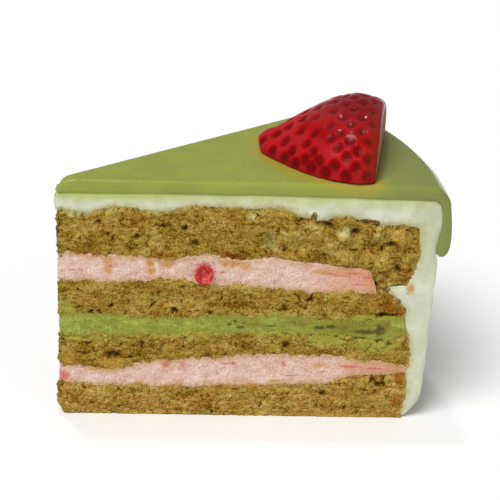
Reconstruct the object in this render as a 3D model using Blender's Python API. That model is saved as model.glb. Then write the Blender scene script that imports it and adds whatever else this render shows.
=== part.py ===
# A slice of layered matcha cake: four sponges, three cream fillings, a cream coat, a green
# glaze that runs over the rim, and a strawberry half on top.
# The slice is a wedge of a round cake. It is worked out around the cake's own axis, in
# millimetres, with the front cut on the plane y = 0. The finished meshes are in metres, and
# the origin is at the middle of the slice's footprint, on the surface it stands on.
import bisect
import math

import bmesh
import bpy
import numpy as np
from mathutils import Vector, noise

MM = 0.001
GAP = 0.3

# The wedge
SLICE_ANGLE = math.radians(38.0)
TIP_RADIUS = 2.2
SPONGE_RADIUS = 96.0
CAKE_RADIUS = 100.0
CAKE_HEIGHT = 64.0
GLAZE_THICKNESS = 3.6

# How finely the layers are divided: along a cut, up a sponge and round the cake
PLAIN_COLUMNS = 24
SPONGE_ROWS = 4
STEPS_ROUND = 7
GLAZE_STEPS_ROUND = 24

# The upper strawberry cream dies out here, where the coat's cream reaches in
PINK_TURNS_DOWN = 83.4
PINK_END = 85.5

# Where each boundary between two layers runs along the front cut, as (radius, height) at its
# crests and dips. The last radius is where the boundary meets the coat on the rim.
BOUNDARIES = {
    "floor": [(TIP_RADIUS, 0.0), (94.0, 0.0)],
    "bottom_to_pink": [
        (2.2, 9.7), (16, 9.0), (37, 9.2), (60, 10.1), (71, 10.3), (84, 13.6), (95.0, 14.5),
    ],
    "pink_to_third": [
        (2.2, 14.8), (15, 12.9), (28, 16.1), (42, 16.8), (54, 17.9), (66, 18.2), (77, 17.8),
        (85, 16.5), (95.8, 15.5),
    ],
    "third_to_matcha": [
        (2.2, 23.8), (8, 24.2), (22, 24.6), (40, 25.3), (50, 25.5), (60, 26.6), (71, 25.9),
        (80, 24.6), (88, 24.4), (94.8, 26.0),
    ],
    "matcha_to_second": [
        (2.2, 29.5), (18, 29.1), (28, 28.8), (47, 29.5), (64, 29.3), (78, 28.1), (87, 29.2),
        (93.6, 30.0),
    ],
    "second_to_pink": [
        (2.2, 40.1), (14, 39.8), (33, 41.1), (43, 39.3), (50, 39.4), (64, 38.0), (88, 38.0),
        (94.0, 33.2),
    ],
    "pink_to_top": [
        (2.2, 47.3), (14, 46.0), (25, 46.8), (30, 44.5), (41, 47.5), (50, 45.2), (57, 46.3),
        (65, 45.2), (71, 44.7), (77, 43.9), (PINK_TURNS_DOWN, 43.2), (PINK_END, 39.2), (94.2, 39.1),
    ],
    "top_to_coat": [
        (2.2, 59.4), (7, 58.6), (17, 61.0), (28, 59.7), (38, 61.4), (57, 61.8), (70, 58.3),
        (74, 59.8), (85, 57.7), (91, 58.4), (96.2, 56.9),
    ],
}

# How far each sponge's outer face stands past a straight line between its two edges
SPONGE_BULGE = {"sponge_bottom": 1.4, "sponge_third": 0.4, "sponge_second": 0.2, "sponge_top": 0.9}

# Unevenness of the boundaries and of the cut crumb, as height and breadth of the lumps
WAVE_HEIGHT = 0.45
WAVE_BREADTH = 6.0
DRIFT_HEIGHT = 0.9
DRIFT_BREADTH = 26.0
CRUMB_RELIEF = 0.55
TORN_RELIEF = 1.3
TORN_FROM = 50.0
LUMP_BREADTH = 4.2
CREAM_RELIEF = 0.2

# The coat's outer face from its foot to its shoulder, as (height, radius)
COAT_FACE = [
    (2.2, 96.9), (4.2, 98.4), (7.0, 99.5), (14.0, 99.7), (22.0, 100.4), (32.0, 100.1),
    (45.0, 100.5), (50.5, 100.0), (56.0, 100.9), (60.5, 101.0), (62.8, 100.3), (63.8, 99.0),
]
COAT_UNEVEN = 0.35
COAT_TOP_COLUMNS = 8

# The glaze: its soft edges, the apron all round the rim, and the drips as
# (place round the slice from 0 to 1, height of the lowest point, half breadth)
GLAZE_EDGE = 1.0
GLAZE_TIP_ROUND = 3.6
APRON_BOTTOM = 56.5
APRON_THICKNESS = 1.5
DRIP_THICKNESS = 3.5
DRIPS = [(0.0, 48.3, 0.10), (0.29, 52.5, 0.075), (0.53, 45.0, 0.08), (0.77, 53.5, 0.07), (1.0, 48.0, 0.09)]

# The strawberry half lies on its cut face, and its hull end is sliced flat
BERRY_TIP = (54.0, 27.5)
BERRY_TURN = math.radians(-9.5)
BERRY_LENGTH = 33.2
BERRY_FULLEST = 26.8
BERRY_FRONT_WIDTH = 22.7
BERRY_BACK_WIDTH = 19.9
BERRY_WIDTH_GROWTH = 0.89
BERRY_HEIGHT = 14.9
BERRY_HEIGHT_GROWTH = 1.33
BERRY_TIP_BLUNT = 4.0
BERRY_TIP_ROUND = 2.4
BERRY_END_ROUND = 1.0
BERRY_END_SKEW = math.radians(-0.7)
BERRY_SECTIONS = 20
BERRY_SIDES = 18

# A diced piece of fruit that shows in the upper strawberry cream
FRUIT_CENTRE = (39.9, 43.1)
FRUIT_SIZE = (4.8, 4.2)
FRUIT_DEPTH = 3.4

COLOURS = {
    "sponge": (0.40, 0.26, 0.07),
    "strawberry_cream": (0.76, 0.52, 0.48),
    "matcha_cream": (0.30, 0.37, 0.06),
    "coat_cream": (0.66, 0.70, 0.48),
    "glaze": (0.26, 0.30, 0.07),
    "berry": (0.42, 0.015, 0.015),
    "fruit": (0.45, 0.03, 0.02),
}
ROUGHNESS = {"glaze": 0.15, "berry": 0.2, "fruit": 0.4, "sponge": 0.95}


def smooth_through(points, at):
    """Value at a place on the curve that eases from each point to the next."""
    places = [place for place, value in points]
    values = [value for place, value in points]
    after = min(max(bisect.bisect_left(places, at), 1), len(places) - 1)
    share = (at - places[after - 1]) / (places[after] - places[after - 1])
    share = min(max(share, 0.0), 1.0)
    ease = share * share * (3.0 - 2.0 * share)
    return values[after - 1] + (values[after] - values[after - 1]) * ease


def lumps(x, y, z, breadth):
    """Soft lumps between about -1 and 1."""
    return noise.noise(Vector((x, y, z)) / breadth) * 1.6


def column_radii():
    """Radii of the columns that every layer shares."""
    plain = np.linspace(TIP_RADIUS, PINK_TURNS_DOWN, PLAIN_COLUMNS)
    rim = [PINK_END, 88.0, 90.6, 93.3, SPONGE_RADIUS]
    return [float(radius) for radius in plain] + rim


def place(radius, turn, height):
    """Point in the cake's frame at a radius, a share of the slice's angle and a height."""
    angle = turn * SLICE_ANGLE
    return Vector((radius * math.cos(angle), radius * math.sin(angle), height))


def boundary_point(name, column, turn):
    """Radius and height of a layer boundary at a column, before any gap."""
    points = BOUNDARIES[name]
    radii = column_radii()
    rim_share = min(max((radii[column] - PINK_END) / (SPONGE_RADIUS - PINK_END), 0.0), 1.0)
    radius = radii[column] + rim_share * (points[-1][0] - SPONGE_RADIUS)
    height = smooth_through(points, radius)
    if name != "floor":
        where = place(radius, turn, height)
        seed = 11.0 * list(BOUNDARIES).index(name)
        height += WAVE_HEIGHT * lumps(where.x, where.y, seed, WAVE_BREADTH)
        away = math.sin(min(turn * 3.0, 1.0) * math.pi / 2)
        height += DRIFT_HEIGHT * away * lumps(where.x, where.y, seed + 5.0, DRIFT_BREADTH)
    return radius, height


def boundary_edge(name, column, turn, side):
    """Boundary with half the gap left on one side: 1 above it, -1 below it."""
    radius, height = boundary_point(name, column, turn)
    if name == "floor":
        return radius, height
    last = len(column_radii()) - 1
    before = boundary_point(name, max(column - 1, 0), turn)
    after = boundary_point(name, min(column + 1, last), turn)
    slope = (after[1] - before[1]) / (after[0] - before[0])
    widen = min(math.sqrt(1.0 + slope * slope), 2.0)
    return radius, height + side * widen * GAP / 2


def recess(kind, x, z, side):
    """How far the cut face is set back from the cut plane at a place."""
    seed = 40.0 * side
    if kind == "cream":
        return CREAM_RELIEF * (0.5 + 0.5 * lumps(x, z, seed, LUMP_BREADTH))
    depth = CRUMB_RELIEF
    if kind == "torn" and x > TORN_FROM:
        depth = TORN_RELIEF
    return depth * (0.5 + 0.5 * lumps(x, z, seed, LUMP_BREADTH))


def new_object(name, mesh_bm, material):
    """Turns a finished bmesh into a named object with its material, in metres."""
    bmesh.ops.scale(mesh_bm, vec=(MM, MM, MM), verts=mesh_bm.verts)
    bmesh.ops.recalc_face_normals(mesh_bm, faces=mesh_bm.faces)
    bmesh.ops.triangulate(mesh_bm, faces=mesh_bm.faces)
    mesh = bpy.data.meshes.new(name)
    mesh_bm.to_mesh(mesh)
    mesh_bm.free()
    mesh.materials.append(material)
    mesh.shade_smooth()
    mesh.set_sharp_from_angle(angle=math.radians(35.0))
    made = bpy.data.objects.new(name, mesh)
    bpy.context.scene.collection.objects.link(made)
    return made


def make_material(name):
    material = bpy.data.materials.new(name)
    material.use_nodes = True
    shader = material.node_tree.nodes["Principled BSDF"]
    shader.inputs["Base Color"].default_value = (*COLOURS[name], 1.0)
    shader.inputs["Roughness"].default_value = ROUGHNESS.get(name, 0.6)
    shader.inputs["Metallic"].default_value = 0.0
    return material


def runs_up(start, end):
    """Whether a line of a section runs outward or, where it is steep, upward."""
    out = end.xy.length - start.xy.length
    up = end.z - start.z
    return up > 0.0 if abs(up) > 1.2 * abs(out) else out > 0.0


def skin(mesh_bm, rows, closed=False):
    """Triangles between neighbouring rows, split the same way on both sides of a boundary."""
    for row, following in zip(rows, rows[1:]):
        count = len(row)
        for index in range(count if closed else count - 1):
            beside = (index + 1) % count
            corners = [row[index], row[beside], following[beside], following[index]]
            if not runs_up(corners[0].co, corners[1].co):
                corners = corners[1:] + corners[:1]
            mesh_bm.faces.new((corners[0], corners[1], corners[2]))
            mesh_bm.faces.new((corners[0], corners[2], corners[3]))


def layer(name, low, high, rows, kind, material, columns):
    """One filling or sponge between two boundaries, as a block of rows, columns and steps."""
    mesh_bm = bmesh.new()
    last = len(column_radii()) - 1
    bulge = SPONGE_BULGE.get(name, 0.0)
    block = []
    for step in range(STEPS_ROUND + 1):
        turn = step / STEPS_ROUND
        slab = []
        for row in range(rows + 1):
            share = row / rows
            line = []
            for column in range(columns):
                low_radius, low_height = boundary_edge(low, column, turn, 1)
                high_radius, high_height = boundary_edge(high, column, turn, -1)
                radius = low_radius + share * (high_radius - low_radius)
                height = low_height + share * (high_height - low_height)
                if column == last:
                    radius += bulge * math.sin(share * math.pi) - GAP / 2
                elif column == columns - 1:
                    radius -= GAP / 2
                point = place(radius, turn, height)
                set_back = recess(kind, radius, height, turn) * min(1.0, radius / 12.0)
                if step == 0:
                    point.y += set_back
                elif step == STEPS_ROUND:
                    point += Vector((math.sin(SLICE_ANGLE), -math.cos(SLICE_ANGLE), 0.0)) * set_back
                line.append(mesh_bm.verts.new(point))
            slab.append(line)
        block.append(slab)
    skin(mesh_bm, block[0])
    skin(mesh_bm, block[-1])
    skin(mesh_bm, [slab[0] for slab in block])
    skin(mesh_bm, [slab[-1] for slab in block])
    skin(mesh_bm, [[line[0] for line in slab] for slab in block])
    skin(mesh_bm, [[line[-1] for line in slab] for slab in block])
    return new_object(name, mesh_bm, material)


def coat_radius(height, turn):
    """Outer radius of the coat, with the marks of the palette knife."""
    marks = COAT_UNEVEN * lumps(height * 1.4, turn * 66.0, 3.0, 11.0)
    fade = min(1.0, turn * 5.0)
    return smooth_through(COAT_FACE, height) + marks * fade


def coat_underside(turn):
    """Inner outline of the coat, from the tip along the top sponge and down the rim."""
    last = len(column_radii()) - 1
    pink_end = PLAIN_COLUMNS
    outline = [boundary_edge("top_to_coat", column, turn, 1) for column in range(last + 1)]
    outline[-1] = (outline[-1][0] + GAP / 2, outline[-1][1])
    rim_faces = [
        ("sponge_top", "pink_to_top", "top_to_coat"),
        ("sponge_second", "matcha_to_second", "second_to_pink"),
        ("matcha_cream", "third_to_matcha", "matcha_to_second"),
        ("sponge_third", "pink_to_third", "third_to_matcha"),
        ("strawberry_cream_lower", "bottom_to_pink", "pink_to_third"),
        ("sponge_bottom", "floor", "bottom_to_pink"),
    ]
    for name, low, high in rim_faces:
        low_radius, low_height = boundary_point(low, last, turn)
        high_radius, high_height = boundary_point(high, last, turn)
        rows = SPONGE_ROWS if name in SPONGE_BULGE else 1
        for row in range(rows - 1, -1, -1):
            share = row / rows
            height = low_height + share * (high_height - low_height)
            if height < COAT_FACE[0][0]:
                continue
            radius = low_radius + share * (high_radius - low_radius)
            radius += SPONGE_BULGE.get(name, 0.0) * math.sin(share * math.pi) + GAP / 2
            outline.append((radius, height))
        if name == "sponge_top":
            outline.pop()
            wedge = range(last, pink_end, -1)
            above = [boundary_edge("pink_to_top", column, turn, -1) for column in wedge]
            above[0] = (above[0][0] + GAP / 2, above[0][1])
            below = [boundary_edge("second_to_pink", column, turn, 1) for column in reversed(wedge)]
            below[-1] = (below[-1][0] + GAP / 2, below[-1][1])
            nose = [
                (PINK_END + GAP / 2, boundary_edge("pink_to_top", pink_end, turn, -1)[1]),
                (PINK_END + GAP / 2, boundary_edge("second_to_pink", pink_end, turn, 1)[1]),
            ]
            outline += above + nose + below
    return outline


def coat_outside(turn):
    """Outer outline of the coat, from its foot up the rim and back along the top."""
    outline = [(coat_radius(height, turn), height) for height, radius in COAT_FACE]
    shoulder = COAT_FACE[-1][0]
    for radius in np.linspace(CAKE_RADIUS - 5.0, TIP_RADIUS, COAT_TOP_COLUMNS).tolist():
        outline.append((radius, shoulder + 0.5 * math.sin(math.pi * radius / CAKE_RADIUS)))
    return outline


def cream_coat(material):
    """The cream between the top sponge and the glaze, and down the rim."""
    mesh_bm = bmesh.new()
    rings = []
    for step in range(STEPS_ROUND + 1):
        turn = step / STEPS_ROUND
        outline = coat_underside(turn) + coat_outside(turn)
        rings.append([mesh_bm.verts.new(place(radius, turn, height)) for radius, height in outline])
    skin(mesh_bm, rings, closed=True)
    mesh_bm.faces.new(rings[0])
    mesh_bm.faces.new(rings[-1])
    return new_object("cream_coat", mesh_bm, material)


def drip_reach(turn):
    """Lowest height of the glaze on the rim, and its share of a full drip's thickness."""
    reach = APRON_BOTTOM + 0.8 * lumps(turn * 66.0, 2.0, 9.0, 9.0)
    share = 0.0
    for middle, bottom, half_breadth in DRIPS:
        near = 1.0 / (1.0 + (abs(turn - middle) / half_breadth) ** 4)
        reach = min(reach, APRON_BOTTOM + (bottom - APRON_BOTTOM) * near)
        share = max(share, near)
    return reach, share


def glaze_outline(turn, edge_drop):
    """Outline of the glaze at one place round the slice, all the way round its section."""
    reach, share = drip_reach(turn)
    top = CAKE_HEIGHT + GLAZE_THICKNESS + 0.2
    under = COAT_FACE[-1][0] + GAP
    outline = []
    for radius in np.linspace(TIP_RADIUS, CAKE_RADIUS - 5.0, COAT_TOP_COLUMNS):
        outline.append((radius, under + 0.5 * math.sin(math.pi * radius / CAKE_RADIUS)))
    inner_heights = [under, 63.0, 61.2, 58.6]
    inner_heights += list(np.linspace(58.6, reach + 0.8, 5)[1:])
    for height in inner_heights:
        outline.append((coat_radius(min(height, COAT_FACE[-1][0]), turn) + GAP, height))
    thick = APRON_THICKNESS + share * (DRIP_THICKNESS - APRON_THICKNESS)
    base = coat_radius(reach + 2.0, turn) + GAP
    for lift, out in ((0.0, 0.25), (0.0, 0.6), (0.35, 0.88), (1.0, 1.0)):
        outline.append((base + out * thick, reach + lift * thick))
    outer_heights = np.linspace(reach + thick * 1.6, 64.0, 4)
    for index, height in enumerate(outer_heights):
        rise = (index + 1) / len(outer_heights)
        body = thick * (1.0 - rise) + APRON_THICKNESS * rise
        outline.append((coat_radius(min(height, 60.5), turn) + GAP + body * 0.98, height))
    outline.append((CAKE_RADIUS + 1.3, top - 2.0 - edge_drop))
    outline.append((CAKE_RADIUS - 0.2, top - 0.5 - edge_drop))
    for radius in np.linspace(CAKE_RADIUS - 5.0, TIP_RADIUS + 14.0, COAT_TOP_COLUMNS - 2):
        outline.append((radius, top + 0.12 * lumps(radius, turn * 40.0, 1.0, 12.0) - edge_drop))
    for angle in np.linspace(90.0, 170.0, 5):
        swing = math.radians(angle)
        radius = TIP_RADIUS + GLAZE_TIP_ROUND * (1.0 + math.cos(swing))
        lift = (top - under) * (1.0 - math.sin(swing))
        outline.append((radius, max(top - lift, under + 0.4) - edge_drop * math.sin(swing)))
    return outline


def glaze(material):
    """The glaze over the top, with an apron and drips down the rim."""
    mesh_bm = bmesh.new()
    rings = []
    edge_share = GLAZE_EDGE / (CAKE_RADIUS * SLICE_ANGLE)
    turns = [0.0, edge_share, *np.linspace(0.0, 1.0, GLAZE_STEPS_ROUND + 1)[1:-1], 1.0 - edge_share, 1.0]
    for turn in turns:
        at_cut = turn in (0.0, 1.0)
        outline = glaze_outline(turn, GLAZE_EDGE if at_cut else 0.0)
        rings.append([mesh_bm.verts.new(place(radius, turn, height)) for radius, height in outline])
    skin(mesh_bm, rings, closed=True)
    mesh_bm.faces.new(rings[0])
    mesh_bm.faces.new(rings[-1])
    return new_object("glaze", mesh_bm, material)


def berry_sections():
    """Distances of the strawberry's sections from its tip, closer together where it is round."""
    body = BERRY_LENGTH - BERRY_END_ROUND
    along = [body * (section / BERRY_SECTIONS) ** 1.25 for section in range(1, BERRY_SECTIONS + 1)]
    return along + [body + BERRY_END_ROUND * math.sin(math.radians(angle)) for angle in (35.0, 65.0, 90.0)]


def berry_size(distance):
    """Widths to the front and the back and height of the strawberry at a distance from its tip."""
    swell = math.sin(math.pi / 2 * distance / BERRY_FULLEST)
    rise = min(distance / BERRY_TIP_ROUND, 1.0)
    blunt = BERRY_TIP_BLUNT * math.sqrt(rise * (2.0 - rise)) * math.exp(-distance / 9.0)
    into_end = max(distance - BERRY_LENGTH + BERRY_END_ROUND, 0.0) / BERRY_END_ROUND
    worn = BERRY_END_ROUND * (1.0 - math.sqrt(max(1.0 - into_end * into_end, 0.0)))
    grown = swell**BERRY_WIDTH_GROWTH
    sizes = (BERRY_FRONT_WIDTH * grown, BERRY_BACK_WIDTH * grown, BERRY_HEIGHT * swell**BERRY_HEIGHT_GROWTH)
    return [size + blunt - worn for size in sizes]


def strawberry(material):
    """Half a strawberry, cut face down, with its hull end sliced flat."""
    mesh_bm = bmesh.new()
    along = Vector((math.cos(BERRY_TURN), math.sin(BERRY_TURN), 0.0))
    across = Vector((-along.y, along.x, 0.0))
    bed = CAKE_HEIGHT + GLAZE_THICKNESS + 0.2 + GAP + 0.15
    start = Vector((BERRY_TIP[0], BERRY_TIP[1], bed))
    rings = []
    for distance in berry_sections():
        front_width, back_width, full_height = berry_size(distance)
        skew = math.tan(BERRY_END_SKEW) * (distance / BERRY_LENGTH) ** 3
        ring = []
        for side in range(BERRY_SIDES + 1):
            swing = math.pi * side / BERRY_SIDES
            width = (back_width if 2 * side < BERRY_SIDES else front_width) * math.cos(swing)
            point = start + along * (distance - skew * width) + across * width
            point.z += full_height * math.sin(swing)
            uneven = 0.3 * lumps(point.x, point.y, point.z, 7.0) * min(1.0, distance / 6.0)
            outward = (across * math.cos(swing) + Vector((0.0, 0.0, math.sin(swing)))) * uneven
            if side in (0, BERRY_SIDES):
                outward.z = 0.0
            ring.append(mesh_bm.verts.new(point + outward))
        rings.append(ring)
    tip = mesh_bm.verts.new(start - along * 0.3 + Vector((0.0, 0.0, BERRY_TIP_BLUNT / 2)))
    skin(mesh_bm, rings)
    for side in range(BERRY_SIDES):
        mesh_bm.faces.new((tip, rings[0][side + 1], rings[0][side]))
    mesh_bm.faces.new([tip, rings[0][0], rings[0][-1]])
    for ring, following in zip(rings, rings[1:]):
        mesh_bm.faces.new((ring[0], following[0], following[-1], ring[-1]))
    mesh_bm.faces.new(rings[-1])
    return new_object("strawberry", mesh_bm, material)


def fruit_block(name, grow, material):
    """The diced fruit, or its pocket when grown by the gap."""
    mesh_bm = bmesh.new()
    bmesh.ops.create_icosphere(mesh_bm, subdivisions=2, radius=1.0)
    half_width = FRUIT_SIZE[0] / 2 + grow
    half_height = FRUIT_SIZE[1] / 2 + grow
    depth = FRUIT_DEPTH + grow
    for vert in mesh_bm.verts:
        point = vert.co.copy()
        blocky = [math.copysign(abs(value) ** 0.72, value) for value in point]
        shift = 0.12 * lumps(point.x, point.y, point.z, 0.9)
        x = blocky[0] * half_width * (1.0 + shift) + 0.25 * blocky[2]
        z = blocky[2] * half_height * (1.0 + shift)
        vert.co = Vector((FRUIT_CENTRE[0] + x, blocky[1] * depth, FRUIT_CENTRE[1] + z))
    if grow == 0.0:
        face_plane = 0.15
        geometry = [*mesh_bm.verts, *mesh_bm.edges, *mesh_bm.faces]
        on_face = Vector((0.0, face_plane, 0.0))
        towards_front = Vector((0.0, -1.0, 0.0))
        cut = bmesh.ops.bisect_plane(
            mesh_bm, geom=geometry, plane_co=on_face, plane_no=towards_front, clear_outer=True
        )
        rim = [item for item in cut["geom_cut"] if isinstance(item, bmesh.types.BMEdge)]
        bmesh.ops.contextual_create(mesh_bm, geom=rim)
    return new_object(name, mesh_bm, material)


def carve_pocket(cream, pocket):
    """Cuts the pocket out of the cream and leaves the cutter out of the model."""
    cut = cream.modifiers.new("fruit pocket", "BOOLEAN")
    cut.operation = "DIFFERENCE"
    cut.solver = "EXACT"
    cut.object = pocket
    pocket.hide_render = True
    pocket.display_type = "WIRE"


def centre_on_footprint(made, cutters):
    """Moves every mesh so that the origin is under the middle of the slice."""
    corners = [vert.co for part in made for vert in part.data.vertices]
    low = [min(corner[axis] for corner in corners) for axis in range(3)]
    high = [max(corner[axis] for corner in corners) for axis in range(3)]
    shift = Vector((-(low[0] + high[0]) / 2, -(low[1] + high[1]) / 2, -low[2]))
    for part in made + cutters:
        for vert in part.data.vertices:
            vert.co += shift


def main():
    for old in list(bpy.data.objects):
        bpy.data.objects.remove(old, do_unlink=True)
    materials = {name: make_material(name) for name in COLOURS}
    every = len(column_radii())
    sponge = materials["sponge"]
    pink = materials["strawberry_cream"]
    matcha = materials["matcha_cream"]
    to_pink_end = PLAIN_COLUMNS + 1
    made = [
        layer("sponge_bottom", "floor", "bottom_to_pink", SPONGE_ROWS, "crumb", sponge, every),
        layer("strawberry_cream_lower", "bottom_to_pink", "pink_to_third", 1, "cream", pink, every),
        layer("sponge_third", "pink_to_third", "third_to_matcha", SPONGE_ROWS, "crumb", sponge, every),
        layer("matcha_cream", "third_to_matcha", "matcha_to_second", 1, "cream", matcha, every),
        layer("sponge_second", "matcha_to_second", "second_to_pink", SPONGE_ROWS, "crumb", sponge, every),
        layer("strawberry_cream_upper", "second_to_pink", "pink_to_top", 1, "cream", pink, to_pink_end),
        layer("sponge_top", "pink_to_top", "top_to_coat", SPONGE_ROWS, "torn", sponge, every),
        cream_coat(materials["coat_cream"]),
        glaze(materials["glaze"]),
        strawberry(materials["berry"]),
        fruit_block("fruit_piece", 0.0, materials["fruit"]),
    ]
    pocket = fruit_block("fruit_pocket", GAP, materials["fruit"])
    carve_pocket(bpy.data.objects["strawberry_cream_upper"], pocket)
    centre_on_footprint(made, [pocket])


main()
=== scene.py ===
import math
import random

import bpy
import numpy as np
from mathutils.bvhtree import BVHTree
from mathutils import Matrix, Vector, kdtree


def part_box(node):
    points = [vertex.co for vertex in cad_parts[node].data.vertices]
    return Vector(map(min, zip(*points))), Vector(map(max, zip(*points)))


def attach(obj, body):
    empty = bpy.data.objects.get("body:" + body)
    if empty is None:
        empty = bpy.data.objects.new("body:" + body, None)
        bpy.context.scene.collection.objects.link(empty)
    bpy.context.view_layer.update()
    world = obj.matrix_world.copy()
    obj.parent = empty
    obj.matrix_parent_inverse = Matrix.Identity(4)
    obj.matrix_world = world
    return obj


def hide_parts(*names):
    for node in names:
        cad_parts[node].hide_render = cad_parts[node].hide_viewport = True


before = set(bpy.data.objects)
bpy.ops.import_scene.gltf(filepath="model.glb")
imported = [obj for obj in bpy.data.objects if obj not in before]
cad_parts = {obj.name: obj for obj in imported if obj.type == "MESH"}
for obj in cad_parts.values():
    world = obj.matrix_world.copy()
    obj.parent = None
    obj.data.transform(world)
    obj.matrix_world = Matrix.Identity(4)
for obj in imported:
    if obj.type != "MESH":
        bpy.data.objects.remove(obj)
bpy.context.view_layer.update()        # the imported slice, which stays as it is

mm = 0.001
sliceAngle = math.radians(38.0)
tipRadius = 2.2 * mm
cutReach = 2.6 * mm      # how far a cut's faces may lie from its plane
spotDepth = 6.0          # how deep a spot of colour on the front cut goes, in millimetres

# the whole cake's axis in the slice's own frame: the coat's front end lies in the front cut
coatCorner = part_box("cream_coat")[0]
cakeAxis = Vector((coatCorner.x - tipRadius * math.cos(sliceAngle), coatCorner.y, 0.0))
rearOut = Vector((-math.sin(sliceAngle), math.cos(sliceAngle), 0.0))   # out of the rear cut
frontOut = Vector((0.0, -1.0, 0.0))
tipBack = Vector((0.4 * mm, 0.0, 0.0))              # for layers that stand back at the tip
tipForward = Vector((-0.6 * mm, -0.15 * mm, 0.0))   # for the cream and the glaze over them


def inCake(x, y, z):
    # a point measured from the cake's axis, in millimetres
    return cakeAxis + Vector((x, y, z)) * mm


# Selecting and editing

def objectMode():
    if bpy.context.object and bpy.context.object.mode != "OBJECT":
        bpy.ops.object.mode_set(mode="OBJECT")


def makeActive(piece):
    objectMode()
    bpy.ops.object.select_all(action="DESELECT")
    piece.select_set(True)
    bpy.context.view_layer.objects.active = piece


def editAll(piece):
    makeActive(piece)
    bpy.ops.object.mode_set(mode="EDIT")
    bpy.ops.mesh.select_all(action="SELECT")


def selectFaces(piece, wanted):
    # leaves the piece in edit mode with the wanted faces selected
    bpy.ops.object.mode_set(mode="EDIT")
    bpy.ops.mesh.select_mode(type="FACE")
    bpy.ops.mesh.select_all(action="DESELECT")
    objectMode()
    for face in piece.data.polygons:
        face.select = wanted(face.center, face.normal)
    bpy.ops.object.mode_set(mode="EDIT")


def onFrontCut(centre, normal):
    return normal.dot(frontOut) > 0.55 and centre.y < cakeAxis.y + cutReach


def onRearCut(centre, normal):
    return normal.dot(rearOut) > 0.55 and (centre - cakeAxis).dot(rearOut) > -cutReach


def onTip(centre, normal):
    return (centre - cakeAxis).xy.length < cutReach and abs(normal.z) < 0.7


def onCut(centre, normal):
    return onFrontCut(centre, normal) or onRearCut(centre, normal) or onTip(centre, normal)


def onRim(centre, normal):
    return centre.x > inCake(60, 0, 0).x and abs(normal.z) < 0.6 and not onCut(centre, normal)


def facesUp(centre, normal):
    return normal.z > 0.6


def facesDown(centre, normal):
    return normal.z < -0.6


def facesAxis(centre, normal):
    return normal.xy.dot((centre - cakeAxis).xy.normalized()) < -0.5 and abs(normal.z) < 0.5


def shiftFaces(piece, wanted, move):
    selectFaces(piece, wanted)
    bpy.ops.transform.translate(value=move)
    objectMode()


def widenFaces(piece, wanted, factor):
    # moves faces away from the cake's axis
    selectFaces(piece, wanted)
    bpy.ops.transform.resize(value=(factor, factor, 1.0), center_override=cakeAxis)
    objectMode()


def overlapLayer(piece, overlap, below=True):
    # takes the upper and lower sides of a layer into its neighbours
    over = Vector((0.0, 0.0, overlap * mm))
    shiftFaces(piece, facesUp, over)
    if below:
        shiftFaces(piece, facesDown, -over)


def mergeTriangles(piece):
    editAll(piece)
    bpy.ops.mesh.tris_convert_to_quads(face_threshold=math.pi, shape_threshold=math.pi)


def copyOfNode(node, name):
    piece = bpy.data.objects.new(name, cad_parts[node].data.copy())
    bpy.context.scene.collection.objects.link(piece)
    piece.data.materials.clear()
    editAll(piece)
    bpy.ops.mesh.remove_doubles(threshold=0.00001)
    bpy.ops.mesh.customdata_custom_splitnormals_clear()
    objectMode()
    return piece


def applyModifier(piece, kind, **settings):
    modifier = piece.modifiers.new(kind.lower(), kind)
    for setting, value in settings.items():
        setattr(modifier, setting, value)
    makeActive(piece)
    bpy.ops.object.modifier_apply(modifier=modifier.name)


def evenFaces(piece, settings):
    # faces of one size, with soft edges
    applyModifier(piece, "REMESH", mode="VOXEL", voxel_size=settings["voxel"] * mm)
    applyModifier(piece, "SMOOTH", factor=0.5, iterations=settings["smoothing"])
    applyModifier(piece, "DISPLACE", strength=settings["grow"] * mm, mid_level=0.0)


def finishPiece(piece, material, node):
    makeActive(piece)
    piece.data.materials.clear()
    piece.data.materials.append(material)
    bpy.ops.object.shade_smooth()
    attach(piece, "root")
    if node:
        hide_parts(node)
    print("made", piece.name, len(piece.data.polygons), "faces")


# Relief

def setStops(ramp, stops):
    # places along a ramp and the colour of each
    for element, (position, colour) in zip(ramp.elements, (stops[0], stops[-1])):
        element.position = position
        element.color = (*colour, 1.0)
    for position, colour in stops[1:-1]:
        ramp.elements.new(position).color = (*colour, 1.0)


def reliefTexture(name, kind, size, stops=None, **settings):
    texture = bpy.data.textures.new(name, kind)
    texture.noise_scale = size * mm
    for setting, value in settings.items():
        setattr(texture, setting, value)
    if stops:
        texture.use_color_ramp = True
        setStops(texture.color_ramp, [(position, [level] * 3) for position, level in stops])
    return texture


def clouds(name, size, depth=2, **settings):
    return reliefTexture(name, "CLOUDS", size, noise_depth=depth, **settings)


def displace(piece, texture, height, middle, group, direction="NORMAL"):
    applyModifier(piece, "DISPLACE", texture=texture, strength=height * mm, mid_level=middle,
                  vertex_group=group, texture_coords="LOCAL", direction=direction)


def positions(piece):
    spots = np.empty(len(piece.data.vertices) * 3, np.float32)
    piece.data.vertices.foreach_get("co", spots)
    return spots.reshape(-1, 3)


def movePoints(piece, spots):
    piece.data.vertices.foreach_set("co", spots.ravel())
    piece.data.update()


def normals(piece):
    facing = np.empty(len(piece.data.vertices) * 3, np.float32)
    piece.data.vertex_normals.foreach_get("vector", facing)
    return facing.reshape(-1, 3)


def risen(piece, before, facing):
    # how far each point has moved outward, in millimetres
    return ((positions(piece) - before) * facing).sum(1) / mm


def keepValues(piece, name, values):
    attribute = piece.data.attributes.new(name, "FLOAT", "POINT")
    attribute.data.foreach_set("value", np.asarray(values, np.float32))


def keepWeights(piece, name, weights):
    group = piece.vertex_groups.new(name=name)
    for index in np.nonzero(weights)[0]:
        group.add([int(index)], float(weights[index]), "REPLACE")


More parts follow.
